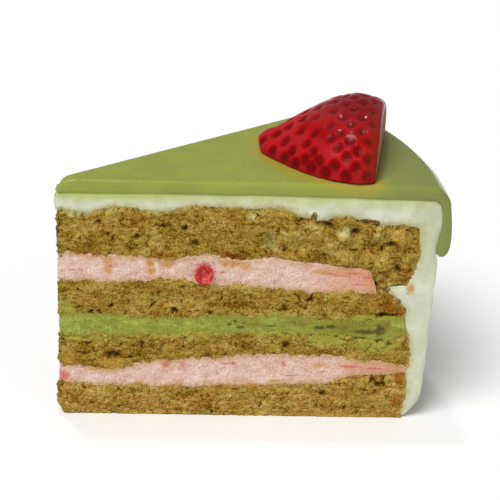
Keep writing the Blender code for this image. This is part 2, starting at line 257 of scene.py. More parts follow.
def searchTree(spots, indices):
    # finds the nearest of some points, each under its own number
    tree = kdtree.KDTree(len(indices))
    for index in indices:
        tree.insert(spots[index].tolist(), int(index))
    tree.balance()
    return tree


def spotValues(piece, places):
    # up to 1 at places on the front cut, under 0 past their edges
    apart = (positions(piece) - np.array(cakeAxis)) / mm
    values = np.full(len(apart), -1.0)
    for x, z, wide, high, share in places:
        reach = ((apart - (x, 0.0, z)) / (wide, spotDepth, high)) ** 2
        values = np.maximum(values, share - reach.sum(axis=1))
    return values


def awayFrom(piece, nodes, wanted):
    # how far chosen points of a piece are from other solids, in millimetres
    away = np.full(len(wanted), 9.0)
    spots = positions(piece)
    for node in nodes:
        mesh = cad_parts[node].data
        corners = [vertex.co for vertex in mesh.vertices]
        tree = BVHTree.FromPolygons(corners, [tuple(face.vertices) for face in mesh.polygons])
        for index in np.nonzero(wanted)[0]:
            apart = tree.find_nearest(spots[index].tolist(), 5.0 * mm)[3]
            if apart is not None:
                away[index] = min(away[index], apart / mm)
    return away


def pushSpot(piece, x, z, wide, high, height, front=True):
    # raises or dents the cut round one place, as with proportional editing
    turn = 0.0 if front else sliceAngle
    along = np.array([math.cos(turn), math.sin(turn), 0.0])
    out = np.array(frontOut if front else rearOut)
    spots = positions(piece)
    apart = spots - np.array(inCake(x * math.cos(turn), x * math.sin(turn), z))
    distance = np.sqrt((apart @ along / wide) ** 2 + (apart[:, 2] / high) ** 2) / mm
    near = np.clip(1.0 - distance, 0.0, 1.0)
    near = near * near * (3.0 - 2.0 * near) * (np.abs(apart @ out) < 3.0 * mm)
    spots += np.outer(near * height * mm, out)
    movePoints(piece, spots)


# Materials

class Amount:
    # a number that changes over a surface, with Python's own sums
    def __init__(self, finish, socket):
        self.finish = finish
        self.socket = socket

    def sum(self, operation, first, second):
        return self.finish.amount("ShaderNodeMath", {"operation": operation}, {0: first, 1: second})

    def __add__(self, other):
        return self.sum("ADD", self, other)

    def __sub__(self, other):
        return self.sum("SUBTRACT", self, other)

    def __rsub__(self, other):
        return self.sum("SUBTRACT", other, self)

    def __mul__(self, other):
        return self.sum("MULTIPLY", self, other)


class Finish:
    # one material, the nodes that are added to it and the colour that they build up
    def __init__(self, name, **shader):
        self.material = bpy.data.materials.new(name)
        self.material.use_nodes = True
        self.tree = self.material.node_tree
        self.shader = self.tree.nodes["Principled BSDF"]
        for socket, value in shader.items():
            self.shader.inputs[socket.replace("_", " ")].default_value = value
        self.place = self.add("ShaderNodeTexCoord").outputs["Object"]
        self.axes = self.add("ShaderNodeSeparateXYZ", {}, {"Vector": self.place}).outputs
        self.colour = None

    def plug(self, socket, value):
        if isinstance(value, Amount):
            value = value.socket
        if isinstance(value, bpy.types.NodeSocket):
            self.tree.links.new(value, socket)
        elif isinstance(value, tuple) and len(value) == 3 and socket.type == "RGBA":
            socket.default_value = (*value, 1.0)
        else:
            socket.default_value = value

    def add(self, kind, settings=None, sockets=None):
        node = self.tree.nodes.new(kind)
        for setting, value in (settings or {}).items():
            if setting == "stops":
                setStops(node.color_ramp, value)
            else:
                setattr(node, setting, value)
        for socket, value in (sockets or {}).items():
            self.plug(node.inputs[socket], value)
        return node

    def amount(self, kind, settings=None, sockets=None, output=0):
        return Amount(self, self.add(kind, settings, sockets).outputs[output])

    def use(self, socket, value):
        self.plug(self.shader.inputs[socket], value)

    def glow(self, weight, radius, scale):
        # light that soaks in: its share, its reach in red, green and blue, and a size in millimetres
        self.use("Subsurface Weight", weight)
        self.use("Subsurface Radius", radius)
        self.use("Subsurface Scale", scale * mm)

    def axis(self, name):
        return Amount(self, self.axes[name])

    def noise(self, size, detail=2.0, roughness=0.5, stretch=(1.0, 1.0, 1.0), offset=(0.0, 0.0, 0.0)):
        mapping = {"Vector": self.place, "Scale": stretch, "Location": offset}
        stretched = self.add("ShaderNodeMapping", {}, mapping).outputs[0]
        sockets = {"Vector": stretched, "Scale": 1.0 / (size * mm), "Detail": detail, "Roughness": roughness}
        return self.amount("ShaderNodeTexNoise", {}, sockets)

    def wander(self, height, *noise):
        # noise that swings to both sides of 0
        return (self.noise(*noise) - 0.5) * height

    def stored(self, name):
        return self.amount("ShaderNodeAttribute", {"attribute_name": name}, output="Fac")

    def between(self, value, low, high, start=0.0, end=1.0):
        sockets = {"Value": value, "From Min": low, "From Max": high, "To Min": start, "To Max": end}
        return self.amount("ShaderNodeMapRange", {"interpolation_type": "SMOOTHSTEP"}, sockets)

    def ramp(self, value, stops):
        return self.add("ShaderNodeValToRGB", {"stops": stops}, {"Fac": value}).outputs["Color"]

    def mix(self, share, first, second, blend="MIX"):
        node = self.add("ShaderNodeMix", {"data_type": "RGBA", "blend_type": blend})
        self.plug(node.inputs["Factor"], share)
        self.plug([s for s in node.inputs if s.name == "A" and s.type == "RGBA"][0], first)
        self.plug([s for s in node.inputs if s.name == "B" and s.type == "RGBA"][0], second)
        return [s for s in node.outputs if s.type == "RGBA"][0]

    def paint(self, over, value, low, high, start=0.0, end=1.0, blend="MIX"):
        # lays a colour over what is there, by where a value is between two levels
        self.colour = self.mix(self.between(value, low, high, start, end), self.colour, over, blend)

    def bump(self, height, distance, strength):
        sockets = {"Height": height, "Distance": distance * mm, "Strength": strength}
        self.use("Normal", self.add("ShaderNodeBump", {}, sockets).outputs["Normal"])

    def cover(self, share, colour, roughness):
        # a second, duller surface where the share is 1
        sockets = {"Base Color": colour, "Roughness": roughness, "Specular IOR Level": 0.0}
        dull = self.add("ShaderNodeBsdfPrincipled", {}, sockets)
        both = self.add("ShaderNodeMixShader", {}, {0: share})
        self.tree.links.new(self.shader.outputs[0], both.inputs[1])
        self.tree.links.new(dull.outputs[0], both.inputs[2])
        self.tree.links.new(both.outputs[0], self.tree.nodes["Material Output"].inputs["Surface"])

    def spot(self, x, z, wide, high):
        # 1 at a place on the front cut, 0 past its edge, measured from the cake's axis
        centre = inCake(x, 0.0, z)
        across = (self.axis("X") - centre.x) * (1.0 / (wide * mm))
        up = (self.axis("Z") - centre.z) * (1.0 / (high * mm))
        deep = (self.axis("Y") - centre.y) * (1.0 / (spotDepth * mm))
        return 1.0 - (across * across + up * up + deep * deep)


# Camera, light and floor

view = {
    "place": (27.09, -408.23, 237.01),     # from the cake's axis, in millimetres
    "tiltDown": 24.66,
    "turn": 3.43,
    "roll": 2.61,
    "lens": 124.9,
}
light = {
    "lamps": {
        "key": {"from": (-0.45, -0.55, 1.15), "softness": 34.0, "power": 2.55},
        "fill": {"from": (0.35, -1.0, 0.3), "softness": 80.0, "power": 0.35},
        "shine": {"from": (-0.12, 0.2, 0.97), "softness": 4.0, "power": 0.4},
    },
    "worldLevel": 0.25,
    "floorColour": (0.93, 0.93, 0.925),
}


def setCamera():
    data = bpy.data.cameras.new("camera")
    data.lens = view["lens"]
    data.sensor_width = 36.0
    data.clip_start = 0.01
    camera = bpy.data.objects.new("camera", data)
    bpy.context.scene.collection.objects.link(camera)
    turn = Matrix.Rotation(-math.radians(view["turn"]), 4, "Z")
    tilt = Matrix.Rotation(math.radians(90.0 - view["tiltDown"]), 4, "X")
    roll = Matrix.Rotation(math.radians(view["roll"]), 4, "Z")
    camera.matrix_world = Matrix.Translation(inCake(*view["place"])) @ turn @ tilt @ roll
    bpy.context.scene.camera = camera
    print("camera set")


def setLights():
    for name, settings in light["lamps"].items():
        lamp = bpy.data.lights.new(name, "SUN")
        lamp.angle = math.radians(settings["softness"])
        lamp.energy = settings["power"]
        holder = bpy.data.objects.new(name, lamp)
        holder.rotation_euler = Vector(settings["from"]).to_track_quat("Z", "Y").to_euler()
        bpy.context.scene.collection.objects.link(holder)
    world = bpy.data.worlds.new("world")
    world.use_nodes = True
    sky = world.node_tree.nodes["Background"].inputs
    sky["Color"].default_value = (1.0, 1.0, 1.0, 1.0)
    sky["Strength"].default_value = light["worldLevel"]
    bpy.context.scene.world = world
    bpy.context.scene.view_settings.view_transform = "Standard"
    print("lights set")


def makeFloor():
    bpy.ops.object.select_all(action="DESELECT")
    bpy.ops.mesh.primitive_plane_add(size=12.0, location=(0.0, 0.0, -0.0002))
    floor = bpy.context.object
    floor.name = "floor"
    paper = Finish("floor", Roughness=0.9)
    paper.use("Base Color", light["floorColour"])
    floor.data.materials.append(paper.material)


# Sponges

sponges = ["sponge_bottom", "sponge_third", "sponge_second", "sponge_top"]
sponge = {
    "fineCuts": 3,
    "lumpSize": 3.4, "lumpHeight": 0.5,
    "cellSize": 0.9, "cellDepth": 0.5,
    "poreSize": 1.3, "poreDepth": 0.75,
    "grainSize": 0.4, "grainHeight": 0.26,
    "setBack": -0.3, "overlap": 0.7, "rimGrowth": 1.0075, "rimReach": 1.4, "rimDepth": 0.58, "rimFoot": 1.5,
    "ragged": [("nibbles", 1.0, 1.5, "Z"), ("bites", 2.8, 2.0, "Z"), ("sides", 1.3, 1.3, "X")],
    "raggedFrom": 0.6, "raggedRise": 2.5,
    "tornSize": 5.5, "tornHeight": 2.0, "tornFrom": 62.0, "tornTo": 74.0,
    # the rear cut has the front cut's lumps and holes, the other way round and shallower
    "mirror": 98.0, "mirrorShare": 0.7, "gapSpread": 1.3, "gapFull": 1.8,
    # the lowest corner at the tip is worn away
    "wornHigh": 2.6, "wornReach": 9.0, "wornMove": (1.6, 0.0, 0.4),
}
# lumps raised on the cut: across, up, reach, height
lumps = {
    "sponge_top": [
        (68.6, 55.8, 4.0, 1.9), (62.4, 53.8, 3.6, 1.3), (76.2, 53.6, 3.0, 2.0), (84.6, 54.8, 2.8, 1.6),
        (77.6, 46.8, 2.6, 1.4), (86.6, 46.2, 3.4, 1.6), (91.4, 53.0, 3.4, 1.2), (82.2, 46.8, 2.4, 1.2),
        (66.5, 48.6, 3.0, 1.0), (72.6, 50.4, 3.0, 0.9), (56.6, 51.4, 4.6, -0.9),
    ],
    "sponge_third": [(82.8, 22.8, 2.4, 1.2), (88.2, 22.6, 1.4, 1.0), (78.0, 23.6, 2.6, 1.1)],
    "sponge_second": [(79.0, 33.6, 3.0, 0.8), (90.6, 34.8, 2.4, 0.9)],
    "sponge_bottom": [(84.0, 10.4, 2.6, 0.9), (80.0, 11.4, 2.2, 0.7)],
}
# holes and gaps dented into it, also painted with shade: across, up, half width, half height, depth
gaps = {
    "sponge_top": [
        (67.6, 59.0, 1.2, 1.8, 2.0), (69.4, 57.8, 1.6, 1.3, 2.2), (71.6, 56.8, 1.6, 1.0, 1.8),
        (82.3, 58.3, 3.0, 1.2, 2.2), (84.4, 57.8, 1.0, 1.4, 2.0), (78.4, 54.6, 1.6, 1.0, 1.6),
        (88.6, 51.4, 2.2, 1.4, 1.5), (90.6, 44.4, 1.2, 1.8, 1.2), (12.4, 55.8, 1.0, 0.8, 1.2),
        (22.1, 52.4, 1.6, 1.0, 1.2), (34.7, 54.8, 1.1, 0.8, 1.6), (28.3, 55.4, 2.2, 0.6, 0.9),
        (20.8, 48.6, 1.0, 0.8, 1.0), (37.6, 51.0, 1.2, 0.8, 1.2), (60.8, 49.2, 1.0, 1.2, 1.2),
        (78.6, 49.6, 1.4, 0.8, 1.1),
    ],
    "sponge_third": [
        (16.4, 17.4, 2.8, 1.5, 2.0), (9.7, 21.2, 1.0, 0.8, 1.0), (23.9, 21.5, 1.1, 0.8, 1.0),
        (62.3, 21.6, 1.5, 1.3, 1.4), (9.0, 17.6, 1.0, 0.7, 0.9), (87.2, 24.2, 1.4, 2.2, 2.2),
        (82.6, 24.2, 2.6, 0.7, 1.6), (77.6, 23.6, 1.6, 0.6, 1.2), (89.6, 22.6, 1.2, 1.2, 1.2),
        (20.8, 17.4, 1.4, 0.7, 0.9),
    ],
    "sponge_second": [
        (32.4, 31.1, 1.3, 1.1, 1.6), (10.4, 30.6, 1.2, 0.9, 1.6), (12.6, 30.2, 0.9, 0.6, 1.2),
        (61.1, 32.4, 1.6, 1.2, 1.2), (88.4, 31.0, 3.2, 1.0, 2.2), (84.1, 38.9, 1.4, 0.6, 1.4),
        (82.4, 38.2, 1.6, 0.6, 1.2), (27.0, 33.2, 1.0, 0.8, 0.8), (68.0, 35.4, 1.4, 0.9, 0.8),
    ],
    "sponge_bottom": [
        (72.6, 11.4, 1.6, 0.7, 1.4), (75.6, 11.6, 2.0, 0.8, 1.8), (78.4, 12.3, 2.0, 0.7, 1.8),
        (81.2, 12.8, 2.0, 0.6, 1.6), (84.0, 13.0, 1.8, 0.6, 1.5), (86.2, 11.4, 1.0, 1.1, 1.6),
        (88.0, 10.2, 1.6, 1.0, 1.9), (90.2, 13.4, 1.0, 1.0, 1.6), (73.0, 7.0, 1.2, 1.1, 1.6),
        (27.8, 8.9, 1.8, 0.7, 1.2), (10.9, 3.0, 1.1, 0.8, 1.0),
    ],
}


def refineCuts(piece, cuts):
    # a smooth outline first, then fine faces on what shows of the cut
    mergeTriangles(piece)
    bpy.ops.mesh.select_all(action="DESELECT")
    bpy.ops.mesh.select_mode(type="EDGE")
    bpy.ops.mesh.edges_select_sharp(sharpness=math.radians(50.0))
    bpy.ops.transform.edge_crease(value=1.0)
    objectMode()
    applyModifier(piece, "SUBSURF", levels=2, render_levels=2)
    selectFaces(piece, onCut)
    bpy.ops.mesh.subdivide(number_cuts=cuts, smoothness=0.0)
    objectMode()
    selectFaces(piece, onCut)
    objectMode()
    keepWeights(piece, "cut", [float(vertex.select) for vertex in piece.data.vertices])


def inCut(piece):
    cut = piece.vertex_groups["cut"].index
    return np.array([any(g.group == cut for g in vertex.groups) for vertex in piece.data.vertices])


def rimDistance(piece, inside):
    # how far each point of the cut is from the cut's own edge, in millimetres
    edgePoints = set()
    for face in piece.data.polygons:
        flags = [inside[i] for i in face.vertices]
        if not all(flags):
            edgePoints.update(i for i, flag in zip(face.vertices, flags) if flag)
    spots = positions(piece)
    tree = searchTree(spots, edgePoints)
    away = np.zeros(len(inside), np.float32)
    for i in np.nonzero(inside)[0]:
        away[i] = tree.find(spots[i].tolist())[2] / mm
    return away


# patches of colour on the front cut: across, up, half width, half height, share
stains = {
    "crust": [
        (91.0, 34.0, 5.0, 5.0, 1.1), (84.0, 37.6, 6.0, 1.6, 0.9), (93.4, 43.0, 3.0, 3.0, 0.9),
        (79.0, 12.6, 6.0, 1.3, 1.0), (88.0, 13.2, 3.0, 1.4, 1.0), (93.4, 12.6, 2.0, 2.4, 1.1),
        (93.0, 5.0, 3.0, 2.5, 0.8), (16.1, 18.3, 3.4, 1.6, 1.1), (47.0, 47.4, 4.5, 1.6, 1.0),
        (29.0, 47.0, 4.0, 1.4, 0.8), (10.0, 47.6, 5.0, 1.4, 0.9), (70.0, 59.4, 6.0, 2.0, 0.9),
        (82.4, 58.6, 5.0, 1.6, 0.9), (57.0, 48.0, 3.0, 1.2, 0.8), (86.4, 41.8, 1.6, 2.4, 1.2),
    ],
    "gold": [
        (15.6, 15.4, 4.4, 2.2, 1.2), (30.0, 45.8, 2.6, 1.6, 1.0), (4.0, 16.5, 3.0, 3.0, 0.9),
        (80.0, 0.4, 18.0, 1.2, 1.2), (94.0, 39.8, 1.4, 2.0, 1.2), (78.0, 46.6, 3.0, 1.2, 0.9),
        (2.0, 2.0, 4.0, 3.0, 0.7),
    ],
    "green": [
        (12.0, 22.4, 16.0, 1.2, 0.8), (35.0, 24.2, 16.0, 1.4, 0.8), (60.0, 25.8, 12.0, 2.0, 1.0),
        (74.0, 23.4, 8.0, 2.6, 1.1), (86.0, 22.4, 7.0, 3.0, 1.3), (62.0, 30.4, 14.0, 1.2, 0.8),
        (84.0, 29.8, 6.0, 1.4, 1.1), (3.0, 31.6, 4.0, 3.0, 1.0),
    ],
    "smeared": [
        (57.0, 51.4, 3.8, 6.0, 0.45), (76.0, 55.0, 2.3, 1.5, 1.2), (85.0, 56.6, 1.6, 0.9, 1.0),
        (67.6, 56.6, 3.4, 1.0, 0.7), (61.6, 54.4, 3.0, 1.0, 0.6), (27.2, 60.0, 1.8, 1.6, 0.9),
        (51.6, 58.6, 1.8, 1.4, 0.8), (6.5, 59.0, 5.0, 1.6, 0.9), (86.0, 41.6, 2.6, 1.4, 0.6),
    ],
}
# crumb beside these layers takes on their colour
neighbours = {
    "nearPink": ["strawberry_cream_lower", "strawberry_cream_upper"],
    "nearMatcha": ["matcha_cream"],
    "nearCoat": ["cream_coat"],
}


def makeSpongeFinish():
    crumb = Finish("sponge crumb", Roughness=1.0, Specular_IOR_Level=0.03)
    along = (0.55, 0.55, 1.0)
    strands = crumb.noise(0.95, 4.0, 0.75, along)
    grains = crumb.noise(0.42, 2.0, 0.65)
    # painted shade and light: deeper pores and holes darker and raised lumps lighter, from the stored
    # relief, over the crumb's own grain
    level = crumb.stored("pore") * 0.65 + (strands - 0.5) * 2.2 + (grains - 0.5) * 1.5
    level = level + crumb.wander(1.2, 4.5, 3.0, 0.6, along)
    crumb.colour = crumb.ramp(crumb.between(level, -0.95, 0.85), [
        (0.0, (0.055, 0.024, 0.002)), (0.2, (0.130, 0.062, 0.005)), (0.4, (0.270, 0.154, 0.017)),
        (0.6, (0.368, 0.238, 0.037)), (0.8, (0.462, 0.327, 0.073)), (1.0, (0.60, 0.47, 0.17)),
    ])
    warm = crumb.noise(2.2, 3.0, 0.6, along, (3.0, 1.0, 2.0))
    crumb.paint((1.0, 0.75, 0.55), warm, 0.52, 0.7, 0.0, 0.6, "MULTIPLY")
    cool = crumb.noise(2.8, 3.0, 0.6, along, (-2.0, 5.0, 1.0))
    crumb.paint((0.82, 0.93, 0.8), cool, 0.5, 0.7, 0.0, 0.7, "MULTIPLY")
    # the bottom sponge is a little paler
    crumb.paint((1.14, 1.13, 1.35), crumb.axis("Z"), 14.0 * mm, 12.0 * mm, blend="MULTIPLY")
    ragged = crumb.wander(1.6, 1.6, 3.0, 0.65) + (strands - 0.5)
    crumb.paint((0.80, 0.42, 0.25), crumb.stored("crust") + ragged * 0.7, 0.0, 0.9, 0.0, 0.8, "MULTIPLY")
    crumb.paint((0.48, 0.29, 0.05), crumb.stored("gold") + ragged * 0.7, 0.1, 0.9, 0.0, 0.75)
    crumb.paint((0.40, 0.41, 0.065), crumb.stored("green") + ragged * 0.7, 0.1, 0.9, 0.0, 0.65)
    fuzz = crumb.wander(5.0, 1.2, 3.0, 0.7, (1.0, 1.0, 1.0), (1.0, 2.0, 3.0))
    crumb.paint((0.46, 0.25, 0.08), crumb.stored("nearPink") + fuzz * 0.8, -0.5, 1.3, 0.8, 0.0)
    crumb.paint((0.29, 0.32, 0.045), crumb.stored("nearMatcha") + fuzz * 0.8, -0.4, 1.5, 0.75, 0.0)
    crumb.paint((0.44, 0.38, 0.125), crumb.stored("nearCoat") + fuzz * 0.9, -0.6, 1.4, 0.85, 0.0)
    smeared = crumb.stored("smeared") + ragged
    crumb.paint((0.47, 0.39, 0.115), smeared, -0.1, 0.7, 0.0, 0.75)
    crumb.paint((0.62, 0.57, 0.29), smeared, 0.7, 1.2, 0.0, 0.85)
    # painted shade: dark in the dented holes and gaps, deeper ones darker
    crumb.paint((0.16, 0.08, 0.012), crumb.stored("gap") + ragged * 1.1, -0.1, 0.9, 0.0, 0.7)
    crumb.use("Base Color", crumb.colour)
    crumb.bump(strands + grains * 0.6, 0.3, 0.8)
    return crumb.material


def makeSponge(node, finish):
    piece = copyOfNode(node, node + "_crumb")
    if node in ("sponge_second", "sponge_third"):
        shiftFaces(piece, onTip, tipBack)
    overlapLayer(piece, sponge["overlap"], node != "sponge_bottom")
    widenFaces(piece, onRim, sponge["rimGrowth"])
    refineCuts(piece, sponge["fineCuts"])
    inside = inCut(piece)
    flat = positions(piece)
    outward = normals(piece) * (1.0, 1.0, 0.0)
    outward /= np.maximum(np.linalg.norm(outward, axis=1), 0.001)[:, None]
    if node == "sponge_top":
        reach = (flat[:, 0] - cakeAxis.x) / mm - sponge["tornFrom"]
        share = reach / (sponge["tornTo"] - sponge["tornFrom"])
        keepWeights(piece, "torn", np.clip(share, 0.0, 1.0) * inside)
        displace(piece, clouds("torn", sponge["tornSize"]), sponge["tornHeight"], 0.52, "torn")
    displace(piece, clouds("lumps", sponge["lumpSize"]), sponge["lumpHeight"], 0.5, "cut")
    facing = normals(piece)
    spread = sponge["gapSpread"]
    marks = [(x, z, reach, reach, height) for x, z, reach, height in lumps[node]]
    marks += [(x, z, wide * spread, high * spread, -depth) for x, z, wide, high, depth in gaps[node]]
    for x, z, wide, high, height in marks:
        pushSpot(piece, x, z, wide, high, height)
        pushSpot(piece, sponge["mirror"] - x, z, wide, high, height * sponge["mirrorShare"], front=False)
    coarse = risen(piece, flat, facing)
    before, facing = positions(piece), normals(piece)
    cells = clouds("cells", sponge["cellSize"], noise_type="HARD_NOISE")
    displace(piece, cells, -sponge["cellDepth"], 0.3, "cut")
    pores = reliefTexture("pores", "DISTORTED_NOISE", sponge["poreSize"], distortion=1.2,
                          noise_basis="ORIGINAL_PERLIN", noise_distortion="ORIGINAL_PERLIN",
                          stops=[(0.0, 1.0), (0.3, 1.0), (0.5, 0.0)])
    displace(piece, pores, sponge["poreDepth"], 1.0, "cut")
    displace(piece, clouds("grain", sponge["grainSize"], 1), sponge["grainHeight"], 0.5, "cut")
    depth = risen(piece, before, facing)
    edge = rimDistance(piece, inside)
    middle = np.median(depth[edge > 0.0])
    back = -(middle + sponge["setBack"]) * mm
    applyModifier(piece, "DISPLACE", strength=back, mid_level=0.0, vertex_group="cut")
    # the relief kept here is painted as shade in the pores and holes and as light on the lumps
    fine = np.where(edge > 0.0, depth - middle, 0.0)
    keepValues(piece, "pore", fine + np.where(coarse < 0.0, 0.75, 0.22) * coarse)
    spots = positions(piece)
    sunk = np.clip(1.0 - edge / sponge["rimReach"], 0.0, 1.0)
    sunk = sunk * np.clip(spots[:, 2] / (sponge["rimFoot"] * mm), 0.0, 1.0)
    spots -= outward * (sunk * inside * sponge["rimDepth"] * mm)[:, None]
    apart = np.linalg.norm(spots[:, :2] - np.array(cakeAxis.xy), axis=1) / mm
    worn = np.clip(1.0 - spots[:, 2] / (sponge["wornHigh"] * mm), 0.0, 1.0)
    worn = worn * np.clip(1.0 - apart / sponge["wornReach"], 0.0, 1.0)
    spots += np.outer(worn * mm, sponge["wornMove"])
    movePoints(piece, spots)
    shadedHoles = [(x, z, wide, high, min(deep / sponge["gapFull"], 1.0)) for x, z, wide, high, deep in gaps[node]]
    for name, places in dict(stains, gap=shadedHoles).items():
        keepValues(piece, name, spotValues(piece, places))
    for name, nodes in neighbours.items():
        keepValues(piece, name, awayFrom(piece, nodes, edge > 0.0))
    rise = (positions(piece)[:, 2] / mm - sponge["raggedFrom"]) / sponge["raggedRise"]
    keepWeights(piece, "loose", np.clip(rise, 0.0, 1.0) * (edge > 0.0))
    for name, size, height, direction in sponge["ragged"]:
        displace(piece, clouds(name, size), height, 0.5, "loose", direction)
    finishPiece(piece, finish, node)


# Cream fillings

filling = {
    "fineCuts": 5,
    "overlap": 0.9,
    "wavy": [("swell", 3.0, 0.6), ("ragged", 1.1, 1.0)],
    "lumpSize": 4.0, "lumpHeight": 0.4,
    "poreSize": 0.7, "poreDepth": 0.22,
    "grainSize": 0.45, "grainHeight": 0.08,
}
# places on the front cut: across, up, half width, half height, and a share for the larger ones; in the green
# cream the specks are small pits painted with shade
specksAndShadedPits = {
    "strawberry_cream_upper": [
        (5.6, 42.6, 0.7, 0.14), (7.8, 42.6, 0.5, 0.14), (15.4, 44.0, 0.35, 0.25), (44.6, 42.6, 0.5, 0.16),
        (68.4, 39.7, 0.6, 0.12), (75.6, 42.3, 1.2, 0.16), (79.4, 43.0, 1.8, 0.12), (83.0, 42.0, 1.1, 0.3),
        (72.6, 42.9, 1.4, 0.12), (80.4, 39.8, 1.6, 0.14),
    ],
    "strawberry_cream_lower": [
        (30.2, 15.2, 0.8, 0.7), (31.4, 16.0, 0.9, 0.3), (3.4, 11.4, 0.9, 0.9), (35.0, 15.0, 0.5, 0.5),
        (46.4, 15.6, 1.2, 0.25), (48.4, 15.8, 0.6, 0.3), (40.6, 14.8, 0.6, 0.12), (62.0, 15.8, 0.5, 0.5),
        (64.0, 12.4, 1.4, 0.14), (72.4, 13.6, 1.0, 0.14), (80.0, 15.4, 2.4, 0.2), (86.4, 14.9, 1.8, 0.2),
        (92.4, 13.6, 0.9, 0.7),
    ],
    "matcha_cream": [
        (71.1, 27.0, 0.9, 0.4), (74.0, 27.2, 1.3, 0.35), (82.8, 25.9, 2.2, 0.45), (87.0, 26.2, 0.9, 1.4),
        (47.0, 27.6, 0.5, 0.4), (48.6, 28.4, 0.4, 0.3), (50.0, 26.6, 0.9, 0.3), (58.0, 27.2, 1.4, 0.25),
    ],
}
smears = {
    "strawberry_cream_upper": [
        (14.8, 43.0, 1.4, 1.5, 1.0), (14.4, 45.6, 1.8, 1.1, 1.0), (17.0, 44.4, 1.0, 0.6, 0.9),
        (25.8, 44.8, 1.3, 1.2, 1.2), (26.2, 42.6, 1.1, 1.2, 1.2), (30.0, 44.8, 2.0, 1.6, 1.1),
        (21.0, 45.8, 1.3, 1.0, 0.8), (47.0, 45.2, 3.6, 1.2, 1.2), (50.6, 44.2, 1.6, 1.0, 0.9),
        (71.0, 43.4, 3.6, 1.0, 0.8), (78.0, 43.0, 4.8, 1.0, 0.9), (84.0, 40.6, 2.2, 2.2, 1.0),
    ],
    "strawberry_cream_lower": [
        (15.6, 14.2, 3.6, 1.3, 1.1), (71.6, 15.4, 2.8, 0.8, 0.8), (92.0, 15.2, 3.4, 1.4, 1.0),
        (60.0, 10.6, 3.2, 0.8, 0.8),
    ],
    "matcha_cream": [
        (53.0, 27.6, 6.0, 1.2, 0.6), (65.6, 28.4, 4.4, 1.4, 1.0), (70.0, 26.8, 3.0, 0.9, 0.8),
        (77.0, 27.8, 2.4, 1.8, 1.0), (83.0, 26.0, 3.4, 0.8, 0.9), (88.4, 27.6, 2.0, 2.2, 0.9),
        (92.0, 26.4, 2.0, 1.0, 0.9),
    ],
}
blushes = {
    "strawberry_cream_upper": [(84.0, 42.0, 17.0, 9.0, 1.0)],
    "strawberry_cream_lower": [
        (86.0, 15.4, 13.0, 4.0, 1.0), (3.4, 11.4, 2.4, 2.4, 1.0), (30.4, 15.4, 2.4, 1.8, 1.0),
    ],
    "matcha_cream": [(79.5, 27.0, 13.0, 3.4, 1.0)],
}

pinkTones = {
    "pale": (0.80, 0.57, 0.47), "deep": (0.745, 0.495, 0.395), "clotHighlight": (0.88, 0.67, 0.585),
    "shaded": (0.64, 0.38, 0.29), "pore": (0.42, 0.22, 0.17), "grainy": 0.38,
    "smear": (0.60, 0.31, 0.085), "scorch": (0.44, 0.14, 0.03), "stain": (0.53, 0.33, 0.14),
    "blush": (0.66, 0.27, 0.15), "speckAndPitShade": (0.52, 0.06, 0.07), "specked": 0.65,
}
matchaTones = {
    "pale": (0.38, 0.43, 0.060), "deep": (0.29, 0.325, 0.045), "clotHighlight": (0.45, 0.51, 0.095),
    "shaded": (0.23, 0.26, 0.033), "pore": (0.11, 0.125, 0.015), "grainy": 0.4,
    "smear": (0.24, 0.195, 0.026), "scorch": (0.15, 0.10, 0.012), "stain": (0.27, 0.26, 0.033),
    "blush": (0.20, 0.145, 0.019), "speckAndPitShade": (0.05, 0.05, 0.008), "specked": 0.85,
}

# the diced fruit: the middle of its solid and of what shows, and how its form differs from the solid
dice = {
    "solid": (39.9, 0.0, 43.1), "pocket": 4.4, "halo": (39.8, 42.2, 3.9, 4.0),
    "stretch": (0.98, 1.0, 1.24), "move": (0.0, -1.7, -0.8), "unevenSize": 2.2, "uneven": 0.7,
}


